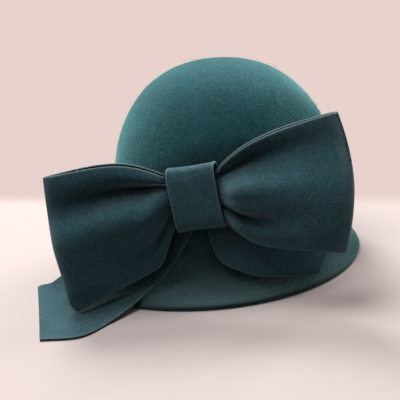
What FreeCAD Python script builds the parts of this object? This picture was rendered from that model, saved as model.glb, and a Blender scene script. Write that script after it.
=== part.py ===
import FreeCAD, Part
import math
import os

# Rounded wool-felt hat with a large felt bow on the wearer's left side.
# Millimetres, +Z up. The origin is the centre of the head oval on the plane the brim rests on,
# the hat's front is -Y and the wearer's left is +X.

V = FreeCAD.Vector

# ---- driving dimensions -------------------------------------------------------------------
FELT = 2.5                # wall of the moulded hood
HEIGHT = 178.0            # crown top above the resting plane
HEAD_HALF_LENGTH = 102.3  # outside of the crown at the head line, front to back
HEAD_HALF_WIDTH = 85.3    # outside of the crown at the head line, side to side
HEAD_LINE = 38.0          # height where the crown turns into the brim
CROWN_ROUND = 2.3         # plan roundness of the dome: 2 is an ellipse, more is squarer
CROWN_FULL = 2.5          # how full the dome stays before it drops
BRIM_HALF_LENGTH = 137.5
BRIM_HALF_WIDTH = 123.0
BRIM_FORWARD = 22.5       # the brim oval sits this far ahead of the head oval
BRIM_COVE = 1.35          # 1 is a straight slope, 2 a full cove
BRIM_SPRING = 2.0         # how gently the crown turns into the brim
HEM_THICK = 5.4           # brim edge, felt folded under on itself
HEM_WIDTH = 9.5           # how far the folded felt runs back under the brim

WIRE_RADIUS = 0.8
TUNNEL_RADIUS = 1.35      # the hollow in the fold that the wire and its joiner lie in
JOINER_RADIUS = 1.25
JOINER_LENGTH = 14.0

BAND_THICK = 0.9
BAND_LOW = 42.0           # sweatband, lower and upper edge
BAND_HIGH = 70.0
BAND_GAP = 0.15
TAB_WIDTH = 15.0
TAB_HEIGHT = 11.0
TAB_THICK = 0.6

BOW_FELT = 2.2            # cut felt of the bow
BOW_CENTRE = V(107.0, 0.0, 88.0)
BOW_LEAN = 5.0            # the bow faces this many degrees above level
BOW_TILT = 7.5            # rear end raised, degrees
KNOT_WIDTH = 40.0
KNOT_HALF_HEIGHT = 26.5
KNOT_RAISE = 1.5          # middle of the knot above the middle of the bow
KNOT_DEPTH = 19.0
KNOT_SQUARE_UP = 0.5      # under 1 squares the knot's section off towards its top and bottom
KNOT_SQUARE_OUT = 0.65    # and towards its front and back
THREAD_RADIUS = 0.35

RINGS_CROWN = 14
RINGS_COVE = 8
COVE_SPACING = 0.8        # under 1 starts the cove's rings further from the head line


# ---- helpers ------------------------------------------------------------------------------
def interpolated_row(points, marks):
    """One cubic curve through the points, at the given parameters."""
    curve = Part.BSplineCurve()
    curve.interpolate(Points=points, Parameters=marks)
    return curve


def ring_face(rings):
    """Surface whose level sections are ellipses (half length, half width, forward, height)."""
    marks = [0.0]
    for (a, b, forward, z), (a2, b2, forward2, z2) in zip(rings, rings[1:]):
        marks.append(marks[-1] + math.hypot(math.hypot(a2 - a, b2 - b), z2 - z))
    size = interpolated_row([V(a, b, z) for a, b, forward, z in rings], marks)
    shift = interpolated_row([V(forward, m, 0) for (a, b, forward, z), m in zip(rings, marks)], marks)
    corner = math.sqrt(0.5)
    square = [(1, 0), (1, 1), (0, 1), (-1, 1), (-1, 0), (-1, -1), (0, -1), (1, -1), (1, 0)]
    poles, weights = [], []
    for i, (cy, cx) in enumerate(square):
        poles.append([V(s.y * cx, -f.x - s.x * cy, s.z)
                      for s, f in zip(size.getPoles(), shift.getPoles())])
        weights.append([corner if i % 2 else 1.0] * size.NbPoles)
    surface = Part.BSplineSurface()
    surface.buildFromPolesMultsKnots(poles, [3, 2, 2, 2, 3], size.getMultiplicities(),
                                     [0, 0.25, 0.5, 0.75, 1], size.getKnots(),
                                     False, False, 2, size.Degree, weights)
    return surface.toShape()


def oval_wire(a, b, forward, z):
    """Level ellipse of half length a and half width b."""
    oval = Part.Ellipse(V(0, -forward, z), max(a, b), min(a, b))
    shape = oval.toShape()
    if a > b:
        shape.rotate(V(0, -forward, z), V(0, 0, 1), -90)
    return Part.Wire(shape)


def closed_solid(faces):
    """Sew faces that share their edges into one solid."""
    shell = Part.makeShell(faces)
    shell.sewShape()
    solid = Part.Solid(Part.Shell(shell.Faces))
    if solid.Volume < 0:
        solid.reverse()
    return solid


def oval_tube(a, b, forward, z, radius):
    """Round tube along a level oval, in two halves that meet at its top and bottom lines."""
    halves = []
    for side in (1, -1):
        rings = []
        for i in range(9):
            t = math.pi * i / 8
            reach = side * radius * math.sin(t)
            rings.append((a + reach, b + reach, forward, z + radius * math.cos(t)))
        halves.append(ring_face(rings))
    return closed_solid(halves)


def normals_of(grid):
    """Unit normals of a grid of points, from its neighbours."""
    rows, cols = len(grid), len(grid[0])
    result = []
    for i in range(rows):
        line = []
        for j in range(cols):
            du = grid[min(i + 1, rows - 1)][j] - grid[max(i - 1, 0)][j]
            dv = grid[i][min(j + 1, cols - 1)] - grid[i][max(j - 1, 0)]
            line.append(du.cross(dv).normalize())
        result.append(line)
    return result


def felt_sheet(grid, thickness):
    """Solid sheet of even thickness about a grid of middle-surface points."""
    away = normals_of(grid)
    faces, borders = [], []
    for side in (0.5, -0.5):
        surface = Part.BSplineSurface()
        surface.interpolate([[p + n * (thickness * side) for p, n in zip(*rows)]
                             for rows in zip(grid, away)])
        u_low, u_high, v_low, v_high = surface.bounds()
        faces.append(surface.toShape())
        borders.append([surface.uIso(u_low), surface.uIso(u_high), surface.vIso(v_low), surface.vIso(v_high)])
    for near, far in zip(*borders):
        faces += Part.makeLoft([Part.Wire(near.toShape()), Part.Wire(far.toShape())], False, True).Faces
    return closed_solid(faces)


def stitch(start, end, radius=THREAD_RADIUS):
    """One straight thread stitch."""
    run = end - start
    return Part.makeCylinder(radius, run.Length, start, run)


# ---- hood ---------------------------------------------------------------------------------
def crown_rings(inset):
    """Dome from the top to the head line: a superellipse of revolution made oval."""
    rings = []
    for i in range(RINGS_CROWN + 1):
        t = math.radians(90.0 * (1 - i / RINGS_CROWN))
        reach = max(math.cos(t), 0.0) ** (2 / CROWN_ROUND) if i else 0.0
        rise = math.sin(t) ** (2 / CROWN_FULL)
        rings.append(((HEAD_HALF_LENGTH - inset) * reach, (HEAD_HALF_WIDTH - inset) * reach, 0.0,
                      HEAD_LINE + (HEIGHT - inset - HEAD_LINE) * rise))
    return rings


def cove_rings(inset, end_in, low):
    """Brim from the head line out to its edge: steep at first, level at the edge."""
    rings = []
    for i in range(1, RINGS_COVE + 1):
        t = math.radians(90.0 * (i / RINGS_COVE) ** COVE_SPACING)
        out = math.sin(t) ** (2 * BRIM_SPRING)
        up = max(math.cos(t), 0.0) ** (2 * BRIM_COVE) if i < RINGS_COVE else 0.0
        start_a, start_b = HEAD_HALF_LENGTH - inset, HEAD_HALF_WIDTH - inset
        rings.append((start_a + (BRIM_HALF_LENGTH - end_in - start_a) * out,
                      start_b + (BRIM_HALF_WIDTH - end_in - start_b) * out,
                      BRIM_FORWARD * out, low + (HEAD_LINE - low) * up))
    return rings


def nose_rings(nose):
    """Half-round outer edge of the folded hem."""
    rings = []
    for i in range(1, 7):
        t = math.radians(180.0 * i / 6)
        rings.append((BRIM_HALF_LENGTH - nose + nose * math.sin(t), BRIM_HALF_WIDTH - nose + nose * math.sin(t),
                      BRIM_FORWARD, nose + nose * math.cos(t)))
    return rings


def hem_oval(inset, z):
    """Oval that runs a fixed distance inside the brim edge."""
    return BRIM_HALF_LENGTH - inset, BRIM_HALF_WIDTH - inset, BRIM_FORWARD, z


def make_hood():
    """Crown, brim and turned-under hem: one moulded piece of felt."""
    nose = HEM_THICK / 2
    ledge = HEM_THICK - FELT
    faces = []
    for inset, end_in, low in ((0.0, nose, HEM_THICK), (FELT, HEM_WIDTH, ledge)):
        dome = crown_rings(inset)
        cove = [dome[-1]] + cove_rings(inset, end_in, low)
        faces += [ring_face(dome), ring_face(cove)]
    faces.append(ring_face([hem_oval(nose, HEM_THICK)] + nose_rings(nose)))
    foot = [oval_wire(*hem_oval(nose, 0.0)), oval_wire(*hem_oval(HEM_WIDTH, 0.0))]
    faces.append(Part.makeFace(foot, "Part::FaceMakerBullseye"))
    faces.append(ring_face([hem_oval(HEM_WIDTH, ledge), hem_oval(HEM_WIDTH, 0.0)]))
    return closed_solid(faces)


def wire_oval():
    """Oval that the brim wire follows, inside the fold of the hem."""
    return hem_oval(HEM_THICK / 2, HEM_THICK / 2)


def make_joiner(wire):
    """Crimped sleeve over the wire's meeting ends at the back of the brim."""
    a, b, forward, z = wire_oval()
    sleeve = oval_tube(a, b, forward, z, JOINER_RADIUS)
    span = Part.makeBox(JOINER_LENGTH, 12.0, 8.0, V(-JOINER_LENGTH / 2, a - forward - 8.0, z - 4.0))
    return sleeve.common(span).cut(wire)


# ---- sweatband ----------------------------------------------------------------------------
def inner_wall(z, inset):
    """Half length and half width of the inside of the crown at a height."""
    rise = min(max((z - HEAD_LINE) / (HEIGHT - FELT - HEAD_LINE), 0.0), 1.0)
    reach = (1 - rise ** CROWN_FULL) ** (1 / CROWN_ROUND)
    return (HEAD_HALF_LENGTH - FELT - inset) * reach, (HEAD_HALF_WIDTH - FELT - inset) * reach


def make_sweatband():
    """Ribbon ring against the inside of the crown at the head line."""
    def wall(inset, heights):
        return [inner_wall(z, inset) + (0.0, z) for z in heights]
    middle = (BAND_LOW + BAND_HIGH) / 2
    outer = wall(BAND_GAP, (BAND_LOW, middle, BAND_HIGH))
    inner = wall(BAND_GAP + BAND_THICK, (BAND_HIGH, middle, BAND_LOW))
    return closed_solid([ring_face(outer), ring_face([outer[-1], inner[0]]), ring_face(inner),
                         ring_face([inner[-1], outer[0]])])


def on_oval(half_length, half_width, forward, z, degrees):
    """Point on a level oval; 0 degrees is the front, 90 the wearer's left."""
    t = math.radians(degrees)
    return V(half_width * math.sin(t), -forward - half_length * math.cos(t), z)


def make_band_stitches():
    """Running stitches round the lower edge of the sweatband."""
    z = BAND_LOW + 3.0
    a, b = inner_wall(z, BAND_GAP + BAND_THICK + THREAD_RADIUS)
    rows = []
    for i in range(72):
        start = 5.0 * i
        rows.append(stitch(on_oval(a, b, 0.0, z, start), on_oval(a, b, 0.0, z, start + 2.4)))
    return Part.makeCompound(rows)


def make_join_stitches():
    """Upright row that closes the sweatband's ends at the back."""
    rows = []
    for i in range(6):
        z = BAND_LOW + 5.0 + 3.6 * i
        a, b = inner_wall(z + 1.0, BAND_GAP + BAND_THICK + THREAD_RADIUS + 0.1)
        rows.append(stitch(on_oval(a, b, 0.0, z, 177.5), on_oval(a, b, 0.0, z + 2.2, 177.5)))
    return Part.makeCompound(rows)


def make_size_tab():
    """Blank tab sewn flat on the inside of the sweatband, just off the back seam."""
    z = (BAND_LOW + BAND_HIGH) / 2
    turn = 168.0
    a, b = inner_wall(z, BAND_GAP + BAND_THICK)
    tab = Part.makeBox(TAB_WIDTH, TAB_THICK, TAB_HEIGHT, V(-TAB_WIDTH / 2, -TAB_THICK - 1.0, -TAB_HEIGHT / 2))
    tab.rotate(V(0, 0, 0), V(0, 0, 1), turn - 180.0)
    tab.translate(on_oval(a, b, 0.0, z, turn))
    return tab


def make_hem_stitches():
    """Slip stitches over the raw edge of the folded hem, on the underside."""
    rows = []
    z = HEM_THICK - FELT - THREAD_RADIUS - 0.08
    for i in range(90):
        turn = 4.0 * i
        rows.append(stitch(on_oval(*hem_oval(HEM_WIDTH + 0.5, z), turn),
                           on_oval(*hem_oval(HEM_WIDTH + 2.2, z), turn + 0.9)))
    return Part.makeCompound(rows)


# ---- bow ----------------------------------------------------------------------------------
LEAN = math.radians(BOW_LEAN)
TILT = math.radians(BOW_TILT)
BOW_OUT = V(math.cos(LEAN), 0, math.sin(LEAN))
BOW_RISE = V(-math.sin(LEAN), 0, math.cos(LEAN))
BOW_REAR = V(0, 1, 0) * math.cos(TILT) + BOW_RISE * math.sin(TILT)
BOW_UP = V(0, -1, 0) * math.sin(TILT) + BOW_RISE * math.cos(TILT)


def bow_point(rear, up, out):
    """Point in the bow's own frame; out is 0 at the front of the knot."""
    return BOW_CENTRE + BOW_REAR * rear + BOW_UP * up + BOW_OUT * out


# A loop's reach is its length at mid width, and how that changes towards its top and bottom.
# Its top and bottom edges are: height at the knot, height gained in the gather, how soon, how
# suddenly, and the slope beyond. Its swing is how far its outer end stands off the hat. Each
# pleat is: place across the width at the knot, drift along the loop, width at the knot, growth
# of the width, share of the full depth, and how fast it fades.
FRONT_LOOP = dict(side=-1, reach=(116.2, -1.9, -2.8), top=(14.9, 26.8, 0.34, 1.93, -0.2),
                  bottom=(-8.0, -30.1, 0.29, 4.6, -33.4), swing=27.7,
                  pleats=((0.92, -0.66, 0.14, 0.36, 1.0, 0.9), (-0.42, -0.1, 0.16, 0.3, 0.7, 4.0)))
REAR_LOOP = dict(side=1, reach=(125.4, 6.0, -8.8), top=(2.0, 33.7, 0.23, 1.17, 18.1),
                 bottom=(-5.0, -32.0, 0.255, 2.2, -16.0), swing=15.5,
                 pleats=((0.62, -0.34, 0.16, 0.4, 0.9, 0.8), (-0.45, -0.15, 0.14, 0.22, 0.75, 2.5)))
LOOP_START = 0.6          # the two loops' gathered ends meet in the middle of the knot
LOOP_MIDDLE = -9.3        # the loops' middle lies this far behind the knot's front
LOOP_OPEN = 12.0          # half the gap between the two layers at its widest
LOOP_PINCH = 1.4          # half the gap where the knot pinches them
LOOP_SWELL = 1.4          # how late the gap opens
LOOP_BEND = 2.0           # how late the loop bends off the hat
LOOP_EDGE_CLOSE = 0.62    # how much narrower the gap is at the loop's two edges
PLEAT_DEPTH = 12.0
PLEAT_RAISE = 0.20        # share of a pleat's depth by which the felt beside it stands up
PLEAT_PINCH = 0.88        # share of the depth taken away inside the knot
PLEAT_FREE = 0.26         # how far along the loop the pleats reach their depth
FOLD_SQUARE = 5.0         # more gives a flatter loop with a tighter outer fold
LOOP_ROWS = 41            # grid of points each loop's felt is drawn through
LOOP_COLUMNS = 33


def edge_height(rule, u):
    """Height of a loop's edge: quick opening out of the gather, then a straight run."""
    start, opening, rate, power, slope = rule
    return start + opening * (1 - math.exp(-(u / rate) ** power)) + slope * u


def pleat_depth(loop, u, across):
    """How far the gather's folds push the felt out, negative in a valley."""
    total = 0.0
    for place, drift, width, growth, share, fade in loop["pleats"]:
        valley = math.exp(-((across - place - drift * u) / (width + growth * u)) ** 2)
        total += PLEAT_DEPTH * share * (PLEAT_RAISE - valley) * (1 - u) ** fade
    return total * (1 - PLEAT_PINCH * math.exp(-(u / PLEAT_FREE) ** 2)) * (1 + u)


def loop_point(loop, turn, across):
    """Point on a loop's middle surface. turn runs 0 to 1 from the knot round the outer fold and
    back, across runs -1 to 1 from the bottom edge to the top edge."""
    u = min(max(math.sin(math.pi * turn), 0.0), 1.0)
    face = math.cos(math.pi * turn)
    reach = loop["reach"][0] + loop["reach"][1] * across + loop["reach"][2] * across ** 2
    close = math.sqrt(FOLD_SQUARE / 2) if u > 0.9999 else math.sqrt((1 - u ** FOLD_SQUARE) / (1 - u ** 2))
    opening = LOOP_OPEN * (1 - LOOP_EDGE_CLOSE * across ** 2)
    half_gap = (LOOP_PINCH + (opening - LOOP_PINCH) * u ** LOOP_SWELL) * close * face
    top = edge_height(loop["top"], u)
    bottom = edge_height(loop["bottom"], u)
    return bow_point(loop["side"] * (LOOP_START + (reach - LOOP_START) * u),
                     (top + bottom) / 2 + (top - bottom) / 2 * across,
                     LOOP_MIDDLE + loop["swing"] * u ** LOOP_BEND + half_gap + pleat_depth(loop, u, across))


def make_loop(loop):
    """One bow loop: a felt strip folded back on itself and pinched at the knot."""
    grid = []
    for i in range(LOOP_ROWS):
        turn = i / (LOOP_ROWS - 1)
        grid.append([loop_point(loop, turn, -1 + 2 * j / (LOOP_COLUMNS - 1)) for j in range(LOOP_COLUMNS)])
    return felt_sheet(grid, BOW_FELT)


def make_knot():
    """Felt band wrapped once round the gathered middle of the bow."""
    rings = []
    for inset in (0.0, BOW_FELT):
        half_up = KNOT_HALF_HEIGHT - inset
        half_out = KNOT_DEPTH / 2 - inset
        points = []
        for i in range(32):
            t = 2 * math.pi * i / 32
            up = half_up * math.copysign(abs(math.sin(t)) ** KNOT_SQUARE_UP, math.sin(t))
            out = half_out * math.copysign(abs(math.cos(t)) ** KNOT_SQUARE_OUT, math.cos(t))
            points.append(bow_point(-KNOT_WIDTH / 2, up + KNOT_RAISE, out - KNOT_DEPTH / 2))
        loop = Part.BSplineCurve()
        loop.interpolate(Points=points, PeriodicFlag=True)
        rings.append(Part.Face(Part.Wire(loop.toShape())).extrude(BOW_REAR * KNOT_WIDTH))
    return rings[0].cut(rings[1])


# Each tail is given by pairs of edge points, the outer edge that shows and then the inner one,
# with how far the felt rises between them.
FRONT_TAIL = [
    (V(86.6, -1.5, 76), V(86.6, -13, 76), 0.0),
    (V(87.2, -6, 64), V(87.4, -24, 64), 0.5),
    (V(90, -13, 50), V(92, -44, 56), 2.0),
    (V(99, -30, 26), V(93, -80, 44), 2.0),
    (V(118, -50, 9), V(92, -118, 24), 0.0),
    (V(146, -68, 1.6), V(91, -138, 10), -2.0),
    (V(170, -84, 1.3), V(89, -149, 6), -1.5),
    (V(177, -115, 1.3), V(86, -155, 2.5), 0.0),
]
REAR_TAIL = [
    (V(86.6, 1.5, 76), V(86.6, 13, 77), 0.0),
    (V(87.2, 2.5, 64), V(87.4, 20, 69), 0.5),
    (V(90, 5, 49), V(90, 28, 66), 1.5),
    (V(94, 14, 31), V(86, 44, 66), 2.0),
    (V(95.5, 38, 20.5), V(79, 61, 65), 2.0),
    (V(92, 56, 17.5), V(71, 76, 61), 2.0),
    (V(83, 74, 14.5), V(60, 92, 53), 2.0),
    (V(72, 88, 11), V(49, 104, 40), 1.0),
]


def make_tail(stations):
    """Felt tail lofted between its two long edges, with a gentle crown across its width."""
    grid = []
    for outer, inner, rise in stations:
        line = []
        for j in range(7):
            k = j / 6
            line.append(outer + (inner - outer) * k + V(rise / 2, 0, rise) * (4 * k * (1 - k)))
        grid.append(line)
    return felt_sheet(grid, BOW_FELT)


def make_knot_stitches():
    """Cross stitches that close the knot band behind the bow."""
    rows = []
    for i in range(5):
        up = -2.0 + 5.0 * i
        rows.append(stitch(bow_point(-3.0, up, -KNOT_DEPTH - 0.4), bow_point(3.0, up + 1.8, -KNOT_DEPTH - 0.4)))
    return Part.makeCompound(rows)


def make_bow_tacks():
    """Thread bars that hold the bow to the crown behind the knot."""
    rows = []
    for up, length in ((0.0, 3.6), (18.0, 5.2)):
        for rear in (-0.8, 0.0, 0.8):
            start = bow_point(rear, up, -KNOT_DEPTH - 0.6)
            rows.append(stitch(start, start - BOW_OUT * length, 0.5))
    return Part.makeCompound(rows)


def make_gathering_thread():
    """Thread wound three times round the pinched loops, each turn two straights and two arcs."""
    turns = []
    reach, straight, middle = 5.4, 14.0, LOOP_MIDDLE - 1.3
    for rear in (-0.8, 0.0, 0.8):
        top, bottom = 3.0 + straight, 3.0 - straight
        corners = [(top, reach), (top + reach, 0.0), (top, -reach), (bottom, -reach), (bottom - reach, 0.0),
                   (bottom, reach)]
        p = [bow_point(rear, up, middle + out) for up, out in corners]
        path = Part.Wire([Part.Arc(p[0], p[1], p[2]).toShape(), Part.LineSegment(p[2], p[3]).toShape(),
                          Part.Arc(p[3], p[4], p[5]).toShape(), Part.LineSegment(p[5], p[0]).toShape()])
        ring = Part.Wire(Part.makeCircle(THREAD_RADIUS, p[0], BOW_UP))
        turns.append(path.makePipeShell([ring], True, False))
    return Part.makeCompound(turns)


# ---- write --------------------------------------------------------------------------------
def build():
    """Every node of the hat, by name."""
    wire = oval_tube(*wire_oval(), WIRE_RADIUS)
    tunnel = oval_tube(*wire_oval(), TUNNEL_RADIUS)
    return {
        "felt_hood": make_hood().cut(tunnel),
        "brim_wire": wire,
        "wire_joiner": make_joiner(wire),
        "hem_stitches": make_hem_stitches(),
        "sweatband": make_sweatband(),
        "sweatband_stitches": make_band_stitches(),
        "sweatband_join_stitches": make_join_stitches(),
        "size_tab": make_size_tab(),
        "front_loop": make_loop(FRONT_LOOP),
        "rear_loop": make_loop(REAR_LOOP),
        "knot_band": make_knot(),
        "knot_stitches": make_knot_stitches(),
        "gathering_thread": make_gathering_thread(),
        "front_tail": make_tail(FRONT_TAIL),
        "rear_tail": make_tail(REAR_TAIL),
        "bow_tack_stitches": make_bow_tacks(),
    }


os.makedirs("parts", exist_ok=True)
for name, shape in build().items():
    print(name, "valid", shape.isValid(), "solids", len(shape.Solids), "volume", round(shape.Volume, 1))
    shape.exportStep("parts/" + name + ".step")
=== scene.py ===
"""Rounded felt hat with a large felt bow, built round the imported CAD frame.

Every new piece is a surface worked out on a grid from a formula given in its docstring. Lengths
are metres, +Z is up, -Y is the hat's front and +X the wearer's left, where the bow sits.
"""
import math

import bpy
import numpy as np
from bpy.props import FloatProperty, FloatVectorProperty, IntProperty, PointerProperty
from mathutils import Matrix, Vector


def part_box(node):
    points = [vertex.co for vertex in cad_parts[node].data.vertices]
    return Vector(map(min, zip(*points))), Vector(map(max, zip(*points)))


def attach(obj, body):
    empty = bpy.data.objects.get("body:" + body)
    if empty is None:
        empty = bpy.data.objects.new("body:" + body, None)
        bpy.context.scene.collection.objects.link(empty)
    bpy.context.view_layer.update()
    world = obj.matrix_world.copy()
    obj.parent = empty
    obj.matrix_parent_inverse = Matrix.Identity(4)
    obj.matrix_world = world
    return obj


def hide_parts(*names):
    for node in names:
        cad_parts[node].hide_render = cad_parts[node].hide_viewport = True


bl_info = {
    "name": "Felt hat with bow",
    "version": (1, 0, 0),
    "blender": (4, 5, 0),
    "location": "View3D > Sidebar > Felt hat",
    "description": "Builds the looks of a rounded felt hat and its bow round a CAD frame",
    "category": "Add Mesh",
}

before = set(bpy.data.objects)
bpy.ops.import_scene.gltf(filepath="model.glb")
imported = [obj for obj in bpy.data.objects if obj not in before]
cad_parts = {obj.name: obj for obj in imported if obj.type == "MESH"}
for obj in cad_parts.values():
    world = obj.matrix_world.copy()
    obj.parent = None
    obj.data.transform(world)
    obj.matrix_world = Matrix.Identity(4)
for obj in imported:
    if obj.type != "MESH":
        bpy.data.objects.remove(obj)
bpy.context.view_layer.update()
BODY = "root"
MM = 0.001
TAU = 2 * math.pi

HOOD_LOW, HOOD_HIGH = (np.array(corner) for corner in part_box("felt_hood"))
BAND_LOW, BAND_HIGH = (np.array(corner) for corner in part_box("sweatband"))


# ---- settings -----------------------------------------------------------------------------
def length(name, description, default):
    """A length setting, in metres."""
    return FloatProperty(name=name, description=description, default=default, unit="LENGTH", precision=4)


def angle(name, description, degrees):
    """An angle setting, its default given in degrees."""
    return FloatProperty(name=name, description=description, default=math.radians(degrees), subtype="ANGLE")


class HatHoodSettings(bpy.types.PropertyGroup):
    """Sizes of the moulded felt hood."""
    height: length("Height", "Crown top above the surface the brim rests on", float(HOOD_HIGH[2]))
    brim_half_length: length("Brim half length", "Half the brim, front to back",
                             float(HOOD_HIGH[1] - HOOD_LOW[1]) / 2)
    brim_half_width: length("Brim half width", "Half the brim, side to side",
                            float(HOOD_HIGH[0] - HOOD_LOW[0]) / 2)
    brim_forward: length("Brim forward", "How far the brim sits ahead of the head",
                         -float(HOOD_HIGH[1] + HOOD_LOW[1]) / 2)
    head_half_length: length("Head half length", "Crown at the head line, front to back", 0.1023)
    head_half_width: length("Head half width", "Crown at the head line, side to side", 0.0853)
    head_line: length("Head line", "Height where the crown turns into the brim", 0.038)
    felt: length("Felt", "Thickness of the moulded felt", 0.0025)
    hem_thick: length("Hem thickness", "Brim edge with its felt folded under", 0.0054)
    hem_width: length("Hem width", "How far the folded felt runs back", 0.0095)


class HatBowSettings(bpy.types.PropertyGroup):
    """Sizes of the bow."""
    felt: length("Felt", "Thickness of the cut felt", 0.0022)
    lean: angle("Lean", "The bow faces this far above level", 5.0)
    tilt: angle("Tilt", "How far the bow's rear end is raised", 7.5)
    opening: length("Loop opening", "Half the gap between a loop's layers", 0.012)
    pleat: length("Pleat depth", "Depth of the folds beside the knot", 0.015)
    nap: IntProperty(name="Nap", description="Short fibres on the hood, and as many on the bow", default=7000)
    hairs: IntProperty(name="Stray fibres", description="Long loose fibres lying on the felt", default=180)


class HatColourSettings(bpy.types.PropertyGroup):
    """Colours, as sRGB."""
    hood: FloatVectorProperty(name="Hood felt", description="Dyed wool of the hood", subtype="COLOR_GAMMA",
                              default=(0.085, 0.26, 0.295))
    bow: FloatVectorProperty(name="Bow felt", description="Dyed wool of the bow", subtype="COLOR_GAMMA",
                             default=(0.15, 0.28, 0.315))


class HatStageSettings(bpy.types.PropertyGroup):
    """Camera and surroundings."""
    azimuth: angle("Azimuth", "Camera's place round the hat, 0 in front", 104.3)
    elevation: angle("Elevation", "Camera's height angle", 18.6)
    roll: angle("Roll", "Camera tipped about its view axis", 5.44)
    distance: length("Distance", "Camera to the hat's middle", 0.85)
    lens: FloatProperty(name="Lens", default=85.7,
                        description="Focal length in millimetres on a 36 mm sensor")
    line: FloatProperty(name="Floor line", default=-0.022,
                        description="Slope below the view axis at which the floor's tone changes")


# ---- mesh helpers -------------------------------------------------------------------------
def unit(vectors):
    """Vectors divided by their length."""
    return vectors / np.maximum(np.linalg.norm(vectors, axis=-1, keepdims=True), 1e-12)


def grid_quads(rows, cols, wrap):
    """Corner numbers of every quad of a grid, its columns joined round if wrap is set."""
    i, j = np.meshgrid(np.arange(rows - 1), np.arange(cols if wrap else cols - 1), indexing="ij")
    after = (j + 1) % cols
    return np.stack([i * cols + j, i * cols + after, (i + 1) * cols + after, (i + 1) * cols + j],
                    -1).reshape(-1, 4)


def new_object(name, points, faces, material, replaces=()):
    """Mesh object from arrays, smooth shaded, riding on the hat."""
    mesh = bpy.data.meshes.new(name)
    mesh.from_pydata(points.reshape(-1, 3).tolist(), [], [face.tolist() for face in faces])
    mesh.update()
    mesh.polygons.foreach_set("use_smooth", np.ones(len(mesh.polygons), bool))
    mesh.materials.append(material)
    piece = bpy.data.objects.new(name, mesh)
    bpy.context.scene.collection.objects.link(piece)
    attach(piece, BODY)
    if replaces:
        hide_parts(*replaces)
    return piece


def store(piece, name, values):
    """One number per vertex, kept on the mesh for its material."""
    layer = piece.data.attributes.new(name, "FLOAT", "POINT")
    layer.data.foreach_set("value", np.asarray(values, np.float32).ravel())


def store_uv(piece, across, along):
    """A UV map in metres from one pair of numbers per vertex."""
    corner = np.empty(len(piece.data.loops), np.int64)
    piece.data.loops.foreach_get("vertex_index", corner)
    pair = np.stack([np.ravel(across)[corner], np.ravel(along)[corner]], -1)
    layer = piece.data.uv_layers.new(name="cloth")
    layer.data.foreach_set("uv", pair.astype(np.float32).ravel())


def ripple(points, seed, size, count=14):
    """Smooth noise between about -1 and 1: a sum of sine waves in seeded directions."""
    rng = np.random.default_rng(seed)
    total = np.zeros(points.shape[:-1])
    for wave in range(count):
        way = unit(rng.normal(size=3)) * TAU / size * rng.uniform(0.6, 1.7)
        total += np.sin(points @ way + rng.uniform(0, TAU)) * rng.uniform(0.5, 1.0)
    return total / math.sqrt(count)


# ---- materials ----------------------------------------------------------------------------
def linear(colour):
    """sRGB numbers turned to linear light."""
    value = np.asarray(colour, float)
    return tuple(np.where(value <= 0.04045, value / 12.92, ((value + 0.055) / 1.055) ** 2.4)) + (1.0,)


def from_hex(code):
    """sRGB hex text turned to linear light."""
    return linear([int(code[i:i + 2], 16) / 255 for i in (0, 2, 4)])


def add(tree, kind, links=None, **settings):
    """A node with its settings, and links given as socket name or number: the socket that feeds
    it, or a plain value."""
    node = tree.nodes.new(kind)
    for key, value in settings.items():
        if hasattr(node, key):
            setattr(node, key, value)
        else:
            node.inputs[key.replace("_", " ")].default_value = value
    for key, source in (links or {}).items():
        if isinstance(source, bpy.types.NodeSocket):
            tree.links.new(source, node.inputs[key])
        else:
            node.inputs[key].default_value = source
    return node


def new_material(name):
    """Empty material with a Principled shader; returns its tree and that shader."""
    material = bpy.data.materials.new(name)
    material.use_nodes = True
    tree = material.node_tree
    tree.nodes.clear()
    shader = tree.nodes.new("ShaderNodeBsdfPrincipled")
    out = tree.nodes.new("ShaderNodeOutputMaterial")
    tree.links.new(shader.outputs["BSDF"], out.inputs["Surface"])
    return material, tree, shader


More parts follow.
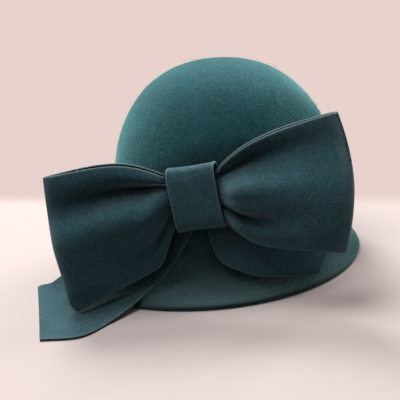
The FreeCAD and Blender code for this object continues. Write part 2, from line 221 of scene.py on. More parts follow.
def felt_material(name, colour, fleck, wear_and_sheen_colour, nap, sheen, tint):
    """Wool felt: wet-felted fibres with no weave, dyed in the piece, its surface brushed to a
    short nap. It is matt, with a pale sheen at grazing angles, painted shade in its folds, cut
    edges and outer folds paler partly from fibre ends and partly as a painted highlight, a brim
    painted greyer as a grazing sheen, small heathered colour changes and single lighter fibres
    lying on it."""
    material, tree, shader = new_material(name)
    place = add(tree, "ShaderNodeTexCoord").outputs["Object"]
    # heather about 25 mm across, and grain of 2 mm and less: drawn coarser than the fibres, to show
    cloud = add(tree, "ShaderNodeTexNoise", {"Vector": place}, Scale=38.0, Detail=5.0, Roughness=0.6)
    fine = add(tree, "ShaderNodeTexNoise", {"Vector": place}, Scale=520.0, Detail=4.0, Roughness=0.75)
    grain = add(tree, "ShaderNodeMapRange", {"Value": fine.outputs["Fac"]}, From_Min=0.3, From_Max=0.7)
    # fibres: noise stretched by a warp, its thin mid level read as a line about 0.3 mm wide
    warp = add(tree, "ShaderNodeTexNoise", {"Vector": place}, Scale=150.0, Detail=2.0)
    bent = add(tree, "ShaderNodeMixRGB", {"Color1": place, "Color2": warp.outputs["Color"]},
               blend_type="ADD", Fac=0.012)
    strand = add(tree, "ShaderNodeTexNoise", {"Vector": bent.outputs["Color"]}, Scale=420.0, Detail=1.0)
    line = add(tree, "ShaderNodeValToRGB", {"Fac": strand.outputs["Fac"]})
    line.color_ramp.elements[0].position = 0.47
    line.color_ramp.elements[0].color = (0, 0, 0, 1)
    line.color_ramp.elements[1].position = 0.53
    line.color_ramp.elements[1].color = (0, 0, 0, 1)
    line.color_ramp.elements.new(0.5).color = (1, 1, 1, 1)
    dark = linear([c * 0.82 for c in colour])
    light = linear([min(c * 1.22, 1.0) for c in colour])
    body = add(tree, "ShaderNodeMixRGB", {"Fac": cloud.outputs["Fac"]}, Color1=dark, Color2=light)
    mottled = add(tree, "ShaderNodeMixRGB",
                  {"Color1": body.outputs["Color"], "Color2": grain.outputs["Result"]},
                  blend_type="OVERLAY", Fac=0.6)
    sparse = add(tree, "ShaderNodeMath", {0: line.outputs["Color"], 1: cloud.outputs["Fac"]},
                 operation="MULTIPLY")
    part = add(tree, "ShaderNodeMath", {0: sparse.outputs["Value"], 1: 0.35}, operation="MULTIPLY")
    flecked = add(tree, "ShaderNodeMixRGB",
                  {"Fac": part.outputs["Value"], "Color1": mottled.outputs["Color"]}, Color2=linear(fleck))
    # places marked on the mesh are paler: cut edges and outer folds partly from fibre ends that show and
    # partly as a painted highlight, the brim as a painted sheen
    wear_and_sheen = add(tree, "ShaderNodeAttribute", attribute_name="wear_and_sheen").outputs["Fac"]
    wear_and_sheen_mix = add(tree, "ShaderNodeMixRGB", {"Fac": wear_and_sheen, "Color1": flecked.outputs["Color"]},
               Color2=linear(wear_and_sheen_colour))
    # painted shade: ambient occlusion darkens the base colour, most in folds and creases, where shade falls
    painted_fold_shade = add(tree, "ShaderNodeAmbientOcclusion", Distance=0.025, samples=6)
    depth = add(tree, "ShaderNodeMath", {0: painted_fold_shade.outputs["AO"], 1: 2.8}, operation="POWER")
    shown = add(tree, "ShaderNodeVectorMath", {0: wear_and_sheen_mix.outputs["Color"], "Scale": depth.outputs["Value"]},
                operation="SCALE")
    tree.links.new(shown.outputs["Vector"], shader.inputs["Base Color"])
    fuzz = add(tree, "ShaderNodeMath", {0: grain.outputs["Result"], 1: line.outputs["Color"]},
               operation="ADD")
    bump = add(tree, "ShaderNodeBump", {"Height": fuzz.outputs["Value"]}, Strength=0.8, Distance=nap)
    tree.links.new(bump.outputs["Normal"], shader.inputs["Normal"])
    shader.inputs["Roughness"].default_value = 0.95
    shader.inputs["Specular IOR Level"].default_value = 0.15
    shader.inputs["Sheen Weight"].default_value = sheen
    shader.inputs["Sheen Roughness"].default_value = 0.45
    shader.inputs["Sheen Tint"].default_value = linear(tint)
    return material


def ribbon_material():
    """Grosgrain ribbon, woven polyester with a rib across its width every 0.6 mm."""
    material, tree, shader = new_material("grosgrain_ribbon_woven")
    uv = add(tree, "ShaderNodeUVMap", uv_map="cloth").outputs["UV"]
    rib = add(tree, "ShaderNodeTexWave", {"Vector": uv}, wave_type="BANDS", bands_direction="Y",
              Scale=TAU / 20 / (0.6 * MM), Distortion=0.3)
    tone = add(tree, "ShaderNodeMixRGB", {"Fac": rib.outputs["Fac"]},
               Color1=from_hex("0a1414"), Color2=from_hex("1c3132"))
    bump = add(tree, "ShaderNodeBump", {"Height": rib.outputs["Fac"]}, Strength=0.6, Distance=0.15 * MM)
    tree.links.new(tone.outputs["Color"], shader.inputs["Base Color"])
    tree.links.new(bump.outputs["Normal"], shader.inputs["Normal"])
    shader.inputs["Roughness"].default_value = 0.6
    shader.inputs["Sheen Weight"].default_value = 0.2
    return material


def fibre_material(name, colour):
    """Single wool fibres, dyed with the felt but paler where light passes through them."""
    material, tree, shader = new_material(name)
    shader.inputs["Base Color"].default_value = linear(colour)
    shader.inputs["Roughness"].default_value = 0.6
    return material


def thread_material():
    """Spun sewing thread, two plies twisted together."""
    material, tree, shader = new_material("sewing_thread_spun")
    place = add(tree, "ShaderNodeTexCoord").outputs["Object"]
    ply = add(tree, "ShaderNodeTexNoise", {"Vector": place}, Scale=1800.0)
    tone = add(tree, "ShaderNodeMixRGB", {"Fac": ply.outputs["Fac"]},
               Color1=from_hex("16302f"), Color2=from_hex("3b605e"))
    tree.links.new(tone.outputs["Color"], shader.inputs["Base Color"])
    shader.inputs["Roughness"].default_value = 0.7
    return material


def plain_material(name, colour, roughness, metallic):
    """One even material for a small hidden piece, named for what it is and how it is made."""
    material, tree, shader = new_material(name)
    shader.inputs["Base Color"].default_value = from_hex(colour)
    shader.inputs["Roughness"].default_value = roughness
    shader.inputs["Metallic"].default_value = metallic
    return material


# ---- hood ---------------------------------------------------------------------------------
CROWN_ROUND = 2.3
CROWN_FULL = 2.5
BRIM_SPRING = 2.0
BRIM_COVE = 1.35
AROUND = 384
HEM_RAISE = 0.5 * MM
HOOD_WANDER = 0.5 * MM


def crown_section(size, inset, count):
    """Half length, half width, forward shift and height of the dome's level ovals, from the top
    to the head line: reach is cos(t)^(2/round), rise is sin(t)^(2/full)."""
    t = np.linspace(math.pi / 2, 0, count)
    reach = np.maximum(np.cos(t), 0) ** (2 / CROWN_ROUND)
    rise = np.sin(t) ** (2 / CROWN_FULL)
    return np.stack([(size.head_half_length - inset) * reach, (size.head_half_width - inset) * reach,
                     0 * t, size.head_line + (size.height - inset - size.head_line) * rise], -1)


def cove_section(size, inset, end_in, low, count):
    """The brim's ovals from the head line outwards: out is sin(t)^(2 spring), the height above
    the edge is cos(t)^(2 cove)."""
    t = np.linspace(0, math.pi / 2, count)[1:]
    out = np.sin(t) ** (2 * BRIM_SPRING)
    up = np.maximum(np.cos(t), 0) ** (2 * BRIM_COVE)
    a, b = size.head_half_length - inset, size.head_half_width - inset
    return np.stack([a + (size.brim_half_length - end_in - a) * out,
                     b + (size.brim_half_width - end_in - b) * out,
                     size.brim_forward * out, low + (size.head_line - low) * up], -1)


def hem_section(size):
    """Half-round nose of the hem, its flat foot and the small step up to the single felt."""
    nose = size.hem_thick / 2
    t = np.linspace(0, math.pi, 15)[1:]
    round_part = np.stack([size.brim_half_length - nose + nose * np.sin(t),
                           size.brim_half_width - nose + nose * np.sin(t),
                           0 * t + size.brim_forward, nose + nose * np.cos(t)], -1)
    ledge = size.hem_thick - size.felt
    inset = np.array([size.hem_width * 0.5, size.hem_width - 0.5 * MM, size.hem_width - 0.1 * MM,
                      size.hem_width, size.hem_width])
    height = np.array([0, 0, 0.15 * MM, 0.6 * MM, ledge])
    foot = np.stack([size.brim_half_length - inset, size.brim_half_width - inset,
                     0 * inset + size.brim_forward, height], -1)
    return np.concatenate([round_part, foot])


def ovals_to_points(section, around):
    """Points of the level ovals: x is half width times sin, y is minus half length times cos,
    less the forward shift."""
    turn = np.linspace(0, TAU, around, endpoint=False)
    a, b, forward, z = (section[:, k, None] for k in range(4))
    return np.stack([b * np.sin(turn), -forward - a * np.cos(turn), z + 0 * turn], -1)


def make_hood(size, material):
    """Crown, brim and folded hem as one closed skin: outside, nose, foot, underside, inside."""
    ledge = size.hem_thick - size.felt
    outside = np.concatenate([crown_section(size, 0, 90),
                              cove_section(size, 0, size.hem_thick / 2, size.hem_thick, 50)])
    inside = np.concatenate([crown_section(size, size.felt, 60),
                             cove_section(size, size.felt, size.hem_width, ledge, 36)])[::-1]
    # the turned-under layer shows through as a slightly raised band along the edge
    inward = (size.brim_half_length - outside[:, 0]) / size.hem_width
    outside[:, 3] += HEM_RAISE * np.clip(1.3 - inward, 0, 0.4) / 0.4
    section = np.concatenate([outside[1:], hem_section(size), inside[1:-1]])
    points = ovals_to_points(section, AROUND)
    rows = len(section)
    # hand-blocked felt is never true: the wall wanders by a few tenths of a millimetre
    centre = points.mean(axis=1, keepdims=True) * [1, 1, 0]
    away = unit((points - centre) * [1, 1, 0])
    free = np.clip((points[..., 2:] - 6 * MM) / (30 * MM), 0, 1)
    points = points + away * free * (HOOD_WANDER * ripple(points, 3, 0.09)[..., None])
    tops = np.array([[0, 0, size.height], [0, 0, size.height - size.felt]])
    flat = np.concatenate([points.reshape(-1, 3), tops])
    quads = grid_quads(rows, AROUND, True)[:, ::-1]
    ring = np.arange(AROUND)
    cap_out = np.stack([0 * ring + rows * AROUND, ring, (ring + 1) % AROUND], -1)
    last = (rows - 1) * AROUND
    cap_in = np.stack([0 * ring + rows * AROUND + 1, last + (ring + 1) % AROUND, last + ring], -1)
    faces = list(quads) + list(cap_out) + list(cap_in)
    piece = new_object("felt_hood_skin", flat, faces, material, ["felt_hood"])
    # the brim is painted greyer than the crown, and most at its edge: a painted grazing sheen
    low = np.clip((0.06 - flat[:, 2]) / 0.05, 0, 1)
    store(piece, "wear_and_sheen", 0.75 * low * low * (3 - 2 * low))
    return piece


# ---- bow ----------------------------------------------------------------------------------
BOW_CENTRE = np.array([0.107, 0.0, 0.088])
KNOT_WIDTH = 40 * MM
KNOT_HALF_HEIGHT = 26.5 * MM
KNOT_RAISE = 1.5 * MM
KNOT_DEPTH = 19 * MM
LOOP_START = 0.6 * MM
LOOP_MIDDLE = -9.3 * MM
LOOP_PINCH = 1.4 * MM
LOOP_SWELL = 1.4
LOOP_BEND = 2.0
FOLD_SQUARE = 5.0
EDGE_CLOSE = 0.62
LAYER_SHIFT = 0.7 * MM
LOOP_WANDER = 0.8 * MM
CORNER_FROM = 0.84
PLEAT_RAISE = 0.42
# reach: length in mm as 1, across and across^2. top and bottom: edge_height's rule. swing: how far
# the outer end stands out, mm. pleats: centre, drift, width, growth, share, fade
FRONT_LOOP = dict(side=-1, reach=(116.2, -1.9, -2.8), top=(14.9, 26.8, 0.34, 1.93, -0.2),
                  bottom=(-8.0, -30.1, 0.29, 4.6, -33.4), swing=27.7, corner=6 * MM,
                  pleats=((0.6, -0.14, 0.1, 0.16, 1.0, 0.45), (0.04, 0.05, 0.3, 0.15, -0.6, 0.5),
                          (-0.55, -0.1, 0.1, 0.2, 0.8, 3.0)))
REAR_LOOP = dict(side=1, reach=(125.4, 6.0, -8.8), top=(2.0, 33.7, 0.23, 1.17, 18.1),
                 bottom=(-5.0, -32.0, 0.255, 2.2, -16.0), swing=15.5, corner=0,
                 pleats=((0.72, -0.15, 0.14, 0.35, 1.2, 0.35), (0.14, 0.0, 0.1, 0.12, -0.15, 1.2),
                         (-0.44, -0.05, 0.1, 0.2, 1.0, 2.0)))


def bow_axes(size):
    """Rearward, upward and outward unit vectors of the bow."""
    out = np.array([math.cos(size.lean), 0, math.sin(size.lean)])
    rise = np.array([-math.sin(size.lean), 0, math.cos(size.lean)])
    back = np.array([0, 1.0, 0])
    rear = back * math.cos(size.tilt) + rise * math.sin(size.tilt)
    return rear, rise * math.cos(size.tilt) - back * math.sin(size.tilt), out


def bow_points(size, rear, up, out):
    """Points in the bow's own frame; out is 0 at the front of the knot."""
    e_rear, e_up, e_out = bow_axes(size)
    rear, up, out = np.broadcast_arrays(rear, up, out)
    return BOW_CENTRE + rear[..., None] * e_rear + up[..., None] * e_up + out[..., None] * e_out


def edge_height(rule, u):
    """Start plus opening times (1 - exp(-(u / rate)^power)) plus slope times u, in metres."""
    start, opening, rate, power, slope = rule
    return (start + opening * (1 - np.exp(-(u / rate) ** power)) + slope * u) * MM


def pleats(size, loop, u, across):
    """Folds that run out of the gather: each is depth times (raise (1 - across^4) - exp(-(d /
    width)^2)), where d is the distance across from a line that drifts with u and the width grows
    with u. They fade as (1 - u)^fade and are pinched shallow as far as the knot reaches."""
    total = 0
    for centre, drift, width, growth, share, fade in loop["pleats"]:
        valley = np.exp(-((across - centre - drift * u) / (width + growth * u)) ** 2)
        total = total + size.pleat * share * (PLEAT_RAISE * (1 - across ** 4) - valley) * (1 - u) ** fade
    return total * (1 - 0.9 * np.exp(-(u / 0.235) ** 6)) * (1 + u)


def loop_middle(size, loop, turn, across):
    """Middle of a loop's felt: out along the front layer, round the outer fold and back. With
    u = sin(pi turn), the length is reach times u and the layers part by (pinch + (opening (1 -
    close across^2) - pinch) u^swell) cos(pi turn), squared off at the fold. The back layer is set
    a little higher at its edges, and the fold's lower corner is rounded."""
    u = np.maximum(np.sin(math.pi * turn), 0)
    face = np.cos(math.pi * turn)
    reach = (loop["reach"][0] + loop["reach"][1] * across + loop["reach"][2] * across ** 2) * MM
    close = np.sqrt((1 - np.minimum(u, 0.9999) ** FOLD_SQUARE) / (1 - np.minimum(u, 0.9999) ** 2))
    opening = size.opening * (1 - EDGE_CLOSE * across ** 2)
    half_gap = (LOOP_PINCH + (opening - LOOP_PINCH) * u ** LOOP_SWELL) * close * face
    reach = reach - loop["corner"] * (np.clip(-across - CORNER_FROM, 0, 1) / (1 - CORNER_FROM)) ** 2
    top, bottom = edge_height(loop["top"], u), edge_height(loop["bottom"], u)
    return bow_points(size, loop["side"] * (LOOP_START + (reach - LOOP_START) * u),
                      (top + bottom) / 2 + (top - bottom) / 2 * across - LAYER_SHIFT * face * across ** 2,
                      LOOP_MIDDLE + loop["swing"] * MM * u ** LOOP_BEND + half_gap
                      + pleats(size, loop, u, across) * (0.75 + 0.25 * face))


def both_sides(grid):
    """A grid's columns followed by the same columns going back, without its two ends."""
    return np.concatenate([grid, grid[:, -2:0:-1]], axis=1)


def make_sheet(name, middle, thickness, material, replaces, edge=0.7 * MM, wear_and_sheen_mix=0.0):
    """Felt sheet about a grid of middle points (along, across, xyz). Each cross-section is a thin
    slab whose two cut edges are rounded: the half thickness falls as a quarter circle over the
    last stretch. Both ends are closed. The cut edges are painted paler, and the last argument
    pales other places, from 0 to 1: partly wear and partly a painted highlight."""
    along, across = middle.shape[:2]
    normal = unit(np.cross(np.gradient(middle, axis=0), np.gradient(middle, axis=1)))
    step = np.linalg.norm(np.diff(middle, axis=1), axis=-1)
    run = np.concatenate([np.zeros((along, 1)), np.cumsum(step, axis=1)], 1)
    rim = np.minimum(run, run[:, -1:] - run)
    half = thickness / 2 * np.sqrt(np.clip(1 - (1 - np.clip(rim / edge, 0, 1)) ** 2, 0, 1))[..., None]
    front, back = middle + normal * half, middle - normal * half
    ring = np.concatenate([front, back[:, -2:0:-1]], axis=1)
    around = ring.shape[1]
    quads = grid_quads(along, around, True)
    ends = []
    for row in (0, along - 1):
        near = row * around + np.arange(across)
        far = row * around + (around - np.arange(across)) % around
        far[-1] = near[-1]
        j = np.arange(1, across - 2)
        strip = np.stack([near[j], near[j + 1], far[j + 1], far[j]], -1)
        first = np.array([near[0], near[1], far[1]])
        final = np.array([near[-2], near[-1], far[-2]])
        group = list(strip) + [first, final]
        ends += [face[::-1] for face in group] if row == 0 else group
    piece = new_object(name, ring, [face for face in quads] + ends, material, replaces)
    lengthwise = np.concatenate([np.zeros((1, across)),
                                 np.cumsum(np.linalg.norm(np.diff(middle, axis=0), axis=-1), axis=0)])
    store_uv(piece, both_sides(run), both_sides(lengthwise))
    # cut edges paler, partly from fibre ends that show and partly as a painted edge highlight
    store(piece, "wear_and_sheen", both_sides(np.maximum(0.75 * np.exp(-(rim / (1.1 * MM)) ** 2), wear_and_sheen_mix)))
    return piece


def rim_spaced(count, width, edge=0.7 * MM):
    """Numbers from -1 to 1 over a width, evenly spaced with four extra steps close to each end."""
    near = np.array([0.02, 0.12, 0.35, 0.7, 1.0]) * edge * 2 / width
    inner = np.linspace(-1 + near[-1], 1 - near[-1], count)
    return np.concatenate([[-1], -1 + near[:-1], inner, 1 - near[:-1][::-1], [1]])


def make_loop(name, size, loop, seed, material, replaces):
    """One bow loop, with slight waves in the felt."""
    turn = np.linspace(0, 1, 161)[:, None]
    across = rim_spaced(101, 110 * MM)[None, :]
    middle = loop_middle(size, loop, turn, across)
    normal = unit(np.cross(np.gradient(middle, axis=0), np.gradient(middle, axis=1)))
    u = np.sin(math.pi * turn)
    middle = middle + normal * u[..., None] * (LOOP_WANDER * ripple(middle, seed, 0.07)[..., None])
    # the outer fold stands proud and is painted paler: partly wear, partly a painted highlight where it
    # catches the light
    wear_and_sheen_mix = 0.4 * np.exp(-((1 - u) / 0.045) ** 2)
    piece = make_sheet(name, middle, size.felt, material, replaces, wear_and_sheen_mix=wear_and_sheen_mix)
    return piece


def make_knot(size, material):
    """Band round the gathers: a squared oval in the bow's up-out plane, carried across the
    knot's width and waisted a little in the middle."""
    turn = np.linspace(math.pi, 3 * math.pi, 161)[:, None]
    across = rim_spaced(31, KNOT_WIDTH)[None, :]
    waist = 1 - 0.03 * (1 - across ** 2)
    half_up = (KNOT_HALF_HEIGHT - size.felt / 2) * waist
    half_out = KNOT_DEPTH / 2 - size.felt / 2
    up = half_up * np.sign(np.sin(turn)) * np.abs(np.sin(turn)) ** 0.5
    out = half_out * np.sign(np.cos(turn)) * np.abs(np.cos(turn)) ** 0.65
    middle = bow_points(size, across * KNOT_WIDTH / 2, up + KNOT_RAISE, out - KNOT_DEPTH / 2)
    piece = make_sheet("knot_band_felt", middle, size.felt, material, ["knot_band"])
    return piece


# a tail's stations: a point on its outer edge, one on its inner edge, and how far it arches, mm
FRONT_TAIL = [
    ((86.6, -1.5, 76), (86.6, -13, 76), 0.0),
    ((87.2, -6, 64), (87.4, -24, 64), 0.5),
    ((90, -13, 50), (92, -44, 56), 2.0),
    ((99, -30, 26), (93, -80, 44), 2.0),
    ((118, -50, 9), (92, -118, 24), 0.0),
    ((146, -68, 1.6), (91, -138, 10), -2.0),
    ((170, -84, 1.3), (89, -149, 6), -1.5),
    ((177, -115, 1.3), (86, -155, 2.5), 0.0),
]
REAR_TAIL = [
    ((86.6, 1.5, 76), (86.6, 13, 77), 0.0),
    ((87.2, 2.5, 64), (87.4, 20, 69), 0.5),
    ((90, 5, 49), (90, 28, 66), 1.5),
    ((94, 14, 31), (86, 44, 66), 2.0),
    ((95.5, 38, 20.5), (79, 61, 65), 2.0),
    ((92, 56, 17.5), (71, 76, 61), 2.0),
    ((83, 74, 14.5), (60, 92, 53), 2.0),
    ((72, 88, 11), (49, 104, 40), 1.0),
]


def smooth_path(points, samples):
    """Catmull-Rom curve through the points (first axis), sampled evenly in its parameter."""
    points = np.asarray(points, float)
    padded = np.concatenate([2 * points[:1] - points[1:2], points, 2 * points[-1:] - points[-2:-1]])
    t = np.linspace(0, len(points) - 1 - 1e-9, samples)
    i = t.astype(int)
    f = (t - i).reshape((-1,) + (1,) * (points.ndim - 1))
    p0, p1, p2, p3 = (padded[i + k] for k in range(4))
    return 0.5 * (2 * p1 + (p2 - p0) * f + (2 * p0 - 5 * p1 + 4 * p2 - p3) * f ** 2
                  + (3 * p1 - p0 - 3 * p2 + p3) * f ** 3)


def make_tail(name, size, stations, material, replaces):
    """A tail between two smooth edge paths; the felt rises between them as 4 k (1 - k)."""
    outer = smooth_path([s[0] for s in stations], 121)[:, None] * MM
    inner = smooth_path([s[1] for s in stations], 121)[:, None] * MM
    rise = smooth_path([[s[2]] for s in stations], 121)[:, None] * MM
    k = (rim_spaced(41, 80 * MM)[None, :, None] + 1) / 2
    middle = outer + (inner - outer) * k + rise * np.array([0.5, 0, 1.0]) * 4 * k * (1 - k)
    # the tails a little greyer all over: partly wear, partly a painted sheen
    piece = make_sheet(name, middle, size.felt, material, replaces, wear_and_sheen_mix=0.06)
    return piece


# ---- sweatband ----------------------------------------------------------------------------
def make_sweatband(size, material):
    """Ribbon against the inside of the crown. At each height the crown's oval is shrunk by the
    felt and half the ribbon; the ends lap at the back by adding one thickness over the lap."""
    thick = 0.9 * MM
    low, high = BAND_LOW[2], BAND_HIGH[2]
    turn = np.linspace(0, TAU, 361)[:, None] + math.pi
    z = (low + high) / 2 + (high - low) / 2 * rim_spaced(21, high - low, 0.3 * MM)[None, :]
    rise = np.clip((z - size.head_line) / (size.height - size.felt - size.head_line), 0, 1)
    reach = (1 - rise ** CROWN_FULL) ** (1 / CROWN_ROUND)
    inset = size.felt + 0.9 * MM + thick / 2 + thick * np.linspace(0, 1, 361)[:, None] ** 60 * 1.05
    middle = np.stack(np.broadcast_arrays((size.head_half_width - inset) * reach * np.sin(turn),
                                          -(size.head_half_length - inset) * reach * np.cos(turn), z), -1)
    piece = make_sheet("sweatband_ribbon", middle, thick, material, ["sweatband"], edge=0.3 * MM)
    return piece


# ---- loose fibres -------------------------------------------------------------------------
def random_spots(piece, count, rng, keep=None):
    """Places and normals spread evenly by area over a piece's faces."""
    mesh = piece.data
    mesh.calc_loop_triangles()
    corners = np.empty(len(mesh.loop_triangles) * 3, np.int64)
    mesh.loop_triangles.foreach_get("vertices", corners)
    co = np.empty(len(mesh.vertices) * 3)
    mesh.vertices.foreach_get("co", co)
    a, b, c = (co.reshape(-1, 3)[corners.reshape(-1, 3)[:, k]] for k in range(3))
    cross = np.cross(b - a, c - a)
    area = np.linalg.norm(cross, axis=1)
    if keep is not None:
        area = area * keep((a + b + c) / 3, unit(cross))
    pick = rng.choice(len(area), count, p=area / area.sum())
    r, t = np.sqrt(rng.random(count))[:, None], rng.random(count)[:, None]
    return a[pick] * (1 - r) + b[pick] * r * (1 - t) + c[pick] * r * t, unit(cross[pick])


def make_fibres(name, hosts, count, seed, reach, lift, radius, material, keep=None, joints=5):
    """Loose wool fibres. Each is a three-sided tapering tube along a curve that leaves the felt,
    runs over it and curls: base + normal lift sin(pi s) + along length s + side curl s^2. None
    dips below the floor."""
    rng = np.random.default_rng(seed)
    share = count // len(hosts)
    spots = [random_spots(host, share, rng, keep) for host in hosts]
    base, normal = (np.concatenate(column) for column in zip(*spots))
    total = len(base)
    along = unit(np.cross(normal, rng.normal(size=(total, 3))))
    side = np.cross(normal, along)
    size = reach * rng.lognormal(0, 0.5, total)[:, None, None]
    height = lift * rng.random(total)[:, None, None] ** 2
    s = np.linspace(0, 1, joints)[None, :, None]
    curl = rng.normal(0, 0.45, (total, 1, 1))
    wave = rng.uniform(0.5, 2.0, (total, 1, 1))
    line = (base[:, None] + normal[:, None] * (height * np.sin(math.pi * s * 0.8) + size * 0.02)
            + along[:, None] * size * s
            + side[:, None] * size * (curl * s ** 2 + 0.1 * np.sin(TAU * s * wave)))
    line[..., 2] = np.maximum(line[..., 2], 2 * radius)
    ahead = unit(np.gradient(line, axis=1))
    u = unit(np.cross(ahead, normal[:, None]))
    v = np.cross(ahead, u)
    turn = np.arange(3) * TAU / 3
    taper = radius * (1 - 0.85 * s[..., None])
    ring = (line[:, :, None] + taper * (u[:, :, None] * np.cos(turn)[:, None]
                                        + v[:, :, None] * np.sin(turn)[:, None]))
    quads = grid_quads(joints, 3, True)
    step = np.arange(total)[:, None, None] * joints * 3
    sides = (quads[None] + step).reshape(-1, 4)
    tips = np.array([[2, 1, 0], [joints * 3 - 3, joints * 3 - 2, joints * 3 - 1]])[None] + step
    faces = list(sides) + list(tips.reshape(-1, 3))
    return new_object(name, ring.reshape(-1, 3), faces, material)


def outer_side(places, normals):
    """1 where a point is on the hat's outside, 0 on its inside."""
    away = places * [1, 1, 0] + [0, 0, 0.02]
    return (np.sum(normals * away, axis=1) > 0).astype(float)


# ---- operators ----------------------------------------------------------------------------
NAP_HEIGHT = 0.3 * MM


def felts(context):
    """The two felt materials, made once."""
    colours = context.scene.hat_colours
    if "wool_felt_hood_brushed" not in bpy.data.materials:
        # after the fleck colour comes the grey that edges, folds and brim are painted towards: wear and
        # painted sheen
        felt_material("wool_felt_hood_brushed", colours.hood, (0.50, 0.66, 0.67), (0.27, 0.33, 0.33),
                      NAP_HEIGHT, 0.75, (0.62, 0.94, 0.94))
        felt_material("wool_felt_bow_cut", colours.bow, (0.46, 0.57, 0.60), (0.42, 0.49, 0.50),
                      NAP_HEIGHT, 0.7, (0.70, 0.88, 0.93))
    return bpy.data.materials["wool_felt_hood_brushed"], bpy.data.materials["wool_felt_bow_cut"]


class HAT_OT_hood(bpy.types.Operator):
    """Build the felt hood"""
    bl_idname = "hat.hood"
    bl_label = "Felt hood"

    def execute(self, context):
        make_hood(context.scene.hat_hood, felts(context)[0])
        return {"FINISHED"}


class HAT_OT_bow(bpy.types.Operator):
    """Build the bow's loops, knot and tails"""
    bl_idname = "hat.bow"
    bl_label = "Bow"

    def execute(self, context):
        size, felt = context.scene.hat_bow, felts(context)[1]
        make_loop("front_loop_felt", size, FRONT_LOOP, 11, felt, ["front_loop"])
        make_loop("rear_loop_felt", size, REAR_LOOP, 12, felt, ["rear_loop"])
        make_knot(size, felt)
        make_tail("front_tail_felt", size, FRONT_TAIL, felt, ["front_tail"])
        make_tail("rear_tail_felt", size, REAR_TAIL, felt, ["rear_tail"])
        return {"FINISHED"}


class HAT_OT_inside(bpy.types.Operator):
    """Build the sweatband and finish the small sewn pieces"""
    bl_idname = "hat.inside"
    bl_label = "Sweatband and sewing"

    def execute(self, context):
        make_sweatband(context.scene.hat_hood, ribbon_material())
        thread = thread_material()
        finish = {
            # plain woven cotton tape, undyed
            "size_tab": plain_material("cotton_tape_woven", "d9d4c6", 0.85, 0),
            # spring steel drawn to wire, and the brass tube crimped over its ends
            "brim_wire": plain_material("spring_steel_drawn", "8d9094", 0.35, 1),
            "wire_joiner": plain_material("brass_crimped", "b8924a", 0.3, 1),
        }
        for name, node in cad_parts.items():
            if "stitches" in name or "thread" in name or name in finish:
                node.data.materials.clear()
                node.data.materials.append(finish.get(name, thread))
        return {"FINISHED"}


class HAT_OT_fibres(bpy.types.Operator):
    """Build the short nap and the long stray fibres"""
    bl_idname = "hat.fibres"
    bl_label = "Loose fibres"

    def execute(self, context):
        size = context.scene.hat_bow
        names = ("front_loop_felt", "rear_loop_felt", "knot_band_felt", "front_tail_felt", "rear_tail_felt")
        shown = [bpy.data.objects[name] for name in names]
        skin = [bpy.data.objects["felt_hood_skin"]]
        make_fibres("hood_nap", skin, size.nap, 31, 2.0 * MM, 1.2 * MM, 0.06 * MM,
                    fibre_material("wool_fibres_hood", (0.30, 0.47, 0.48)), outer_side)
        make_fibres("bow_nap", shown, size.nap, 32, 2.0 * MM, 1.1 * MM, 0.06 * MM,
                    fibre_material("wool_fibres_bow", (0.28, 0.38, 0.40)))
        make_fibres("stray_fibres", shown + skin, size.hairs, 33, 12 * MM, 3.5 * MM, 0.12 * MM,
                    fibre_material("wool_fibres_pale", (0.55, 0.66, 0.66)), outer_side, 15)
        return {"FINISHED"}


class HAT_OT_stage(bpy.types.Operator):
    """Build the floor, lights and camera"""
    bl_idname = "hat.stage"
    bl_label = "Stage"

    def execute(self, context):
        stage = context.scene.hat_stage
        make_floor(stage)
        make_lights(stage)
        make_camera(stage)
        context.scene.view_settings.view_transform = "Standard"
        return {"FINISHED"}


# ---- stage --------------------------------------------------------------------------------
TARGET = Vector((0, 0, 0.07))
BACKDROP = "e7d2cd"
SENSOR = 36
SHIFT = (-0.065, -0.053)


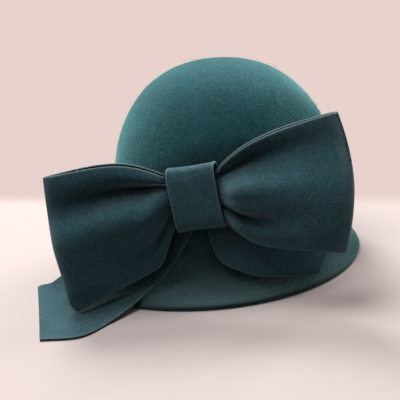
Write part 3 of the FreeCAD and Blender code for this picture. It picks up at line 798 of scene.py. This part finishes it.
def make_floor(stage):
    """Matt paper sweep: a pale floor in front of a soft line behind the hat, and past it an evenly
    lit backdrop. It throws little light back, so that the hat keeps its dark side."""
    half = 4.0
    points = np.array([[-half, -half, 0], [half, -half, 0], [half, half, 0], [-half, half, 0]])
    material, tree, shader = new_material("paper_backdrop_matt")
    # the line lies level in the camera's view: it is where the floor meets the plane that holds
    # the camera, its rightward axis and a ray that falls by the line's slope
    place, right, up, back = camera_axes(stage)
    ray = (up * stage.line - back).normalized()
    plane = right.cross(ray)
    on_floor = place - ray * (place.z / ray.z)
    nearer = Vector((plane.x, plane.y, 0)).normalized()
    if nearer.dot(back) < 0:
        nearer = -nearer
    spot = add(tree, "ShaderNodeTexCoord").outputs["Object"]
    from_line = add(tree, "ShaderNodeVectorMath", {0: spot, 1: on_floor}, operation="SUBTRACT")
    depth = add(tree, "ShaderNodeVectorMath", {0: from_line.outputs["Vector"], 1: nearer},
                operation="DOT_PRODUCT")
    soft = add(tree, "ShaderNodeMapRange", {"Value": depth.outputs["Value"]},
               interpolation_type="SMOOTHSTEP", From_Min=-0.02, From_Max=0.025)
    seen = add(tree, "ShaderNodeLightPath").outputs["Is Camera Ray"]
    # further out than the lit floor the camera sees the backdrop all round
    far = add(tree, "ShaderNodeVectorMath", {0: spot}, operation="LENGTH")
    fade = add(tree, "ShaderNodeMapRange", {"Value": far.outputs["Value"]},
               interpolation_type="SMOOTHSTEP", From_Min=0.45, From_Max=1.0)
    away = add(tree, "ShaderNodeMath", {0: fade.outputs["Result"], 1: seen}, operation="MULTIPLY")
    near = add(tree, "ShaderNodeMath", {0: 1.0, 1: away.outputs["Value"]}, operation="SUBTRACT")
    lit = add(tree, "ShaderNodeMath", {0: soft.outputs["Result"], 1: near.outputs["Value"]},
              operation="MULTIPLY")
    tone = add(tree, "ShaderNodeMixRGB", {"Fac": seen}, Color1=from_hex("6e6664"), Color2=from_hex("b9aeac"))
    tree.links.new(tone.outputs["Color"], shader.inputs["Base Color"])
    shader.inputs["Roughness"].default_value = 0.9
    backdrop = add(tree, "ShaderNodeEmission", Color=from_hex(BACKDROP), Strength=1.0)
    split = add(tree, "ShaderNodeMixShader", {"Fac": lit.outputs["Value"]})
    tree.links.new(backdrop.outputs["Emission"], split.inputs[1])
    tree.links.new(shader.outputs["BSDF"], split.inputs[2])
    out = next(node for node in tree.nodes if node.type == "OUTPUT_MATERIAL")
    tree.links.new(split.outputs["Shader"], out.inputs["Surface"])
    mesh = bpy.data.meshes.new("floor")
    mesh.from_pydata(points.tolist(), [], [(0, 1, 2, 3)])
    mesh.materials.append(material)
    floor = bpy.data.objects.new("floor", mesh)
    bpy.context.scene.collection.objects.link(floor)


def around(stage, turn, lift, distance):
    """Point seen from the hat's middle at an angle round from the camera, to its right."""
    azimuth = stage.azimuth + math.radians(turn)
    lift = math.radians(lift)
    level = math.cos(lift)
    return TARGET + distance * Vector((math.sin(azimuth) * level, -math.cos(azimuth) * level, math.sin(lift)))


def camera_axes(stage):
    """Camera's place and its right, up and backward unit vectors, tipped by the roll."""
    place = around(stage, 0, math.degrees(stage.elevation), stage.distance)
    back = (place - TARGET).normalized()
    right = Vector((math.cos(stage.azimuth), math.sin(stage.azimuth), 0))
    up = back.cross(right)
    c, s = math.cos(stage.roll), math.sin(stage.roll)
    return place, right * c - up * s, right * s + up * c, back


def area_light(name, place, size, power, colour):
    """Square soft box aimed at the hat."""
    data = bpy.data.lights.new(name, "AREA")
    data.size, data.energy, data.color = size, power, from_hex(colour)[:3]
    light = bpy.data.objects.new(name, data)
    light.location = place
    light.rotation_euler = (TARGET - place).to_track_quat("-Z", "Y").to_euler()
    bpy.context.scene.collection.objects.link(light)


def make_lights(stage):
    """Two soft boxes above and behind, one overhead, pale surroundings."""
    area_light("key", around(stage, -155, 52, 1.6), 0.6, 27, "fffaf6")
    area_light("second", around(stage, 118, 42, 1.6), 0.6, 12, "fffaf6")
    area_light("overhead", around(stage, -70, 72, 1.5), 0.9, 20, "ffffff")
    world = bpy.data.worlds.new("studio")
    world.use_nodes = True
    tree = world.node_tree
    tree.nodes.clear()
    # the hat is lit by a weak even glow; the camera sees the backdrop's own colour
    glow = add(tree, "ShaderNodeBackground", Color=from_hex("f3e6e4"), Strength=0.24)
    backdrop = add(tree, "ShaderNodeBackground", Color=from_hex(BACKDROP), Strength=1.0)
    seen = add(tree, "ShaderNodeLightPath").outputs["Is Camera Ray"]
    split = add(tree, "ShaderNodeMixShader", {"Fac": seen})
    tree.links.new(glow.outputs["Background"], split.inputs[1])
    tree.links.new(backdrop.outputs["Background"], split.inputs[2])
    out = tree.nodes.new("ShaderNodeOutputWorld")
    tree.links.new(split.outputs["Shader"], out.inputs["Surface"])
    bpy.context.scene.world = world


def make_camera(stage):
    """Long lens a little above the hat's side, tipped about its view axis."""
    data = bpy.data.cameras.new("camera")
    data.lens = stage.lens
    data.sensor_width = SENSOR
    data.shift_x, data.shift_y = SHIFT
    camera = bpy.data.objects.new("camera", data)
    place, right, up, back = camera_axes(stage)
    camera.matrix_world = Matrix.Translation(place) @ Matrix((right, up, back)).transposed().to_4x4()
    bpy.context.scene.collection.objects.link(camera)
    bpy.context.scene.camera = camera


# ---- panel and run ------------------------------------------------------------------------
class HAT_PT_panel(bpy.types.Panel):
    """Sidebar list of the hat's pieces"""
    bl_idname = "HAT_PT_panel"
    bl_label = "Felt hat"
    bl_space_type = "VIEW_3D"
    bl_region_type = "UI"
    bl_category = "Felt hat"

    def draw(self, context):
        for name in OPERATORS:
            self.layout.operator(name)


OPERATORS = ["hat.hood", "hat.bow", "hat.inside", "hat.fibres", "hat.stage"]
CLASSES = [HatHoodSettings, HatBowSettings, HatColourSettings, HatStageSettings, HAT_OT_hood, HAT_OT_bow,
           HAT_OT_inside, HAT_OT_fibres, HAT_OT_stage, HAT_PT_panel]
SETTINGS = {"hat_hood": HatHoodSettings, "hat_bow": HatBowSettings, "hat_colours": HatColourSettings,
            "hat_stage": HatStageSettings}


def register():
    """Add the classes and the settings."""
    for cls in CLASSES:
        bpy.utils.register_class(cls)
    for name, group in SETTINGS.items():
        setattr(bpy.types.Scene, name, PointerProperty(type=group))


def unregister():
    """Take them away again."""
    for name in SETTINGS:
        delattr(bpy.types.Scene, name)
    for cls in reversed(CLASSES):
        bpy.utils.unregister_class(cls)


def main():
    register()
    bpy.ops.hat.hood()
    bpy.ops.hat.bow()
    bpy.ops.hat.inside()
    bpy.ops.hat.fibres()
    bpy.ops.hat.stage()


if __name__ == "__main__":
    main()
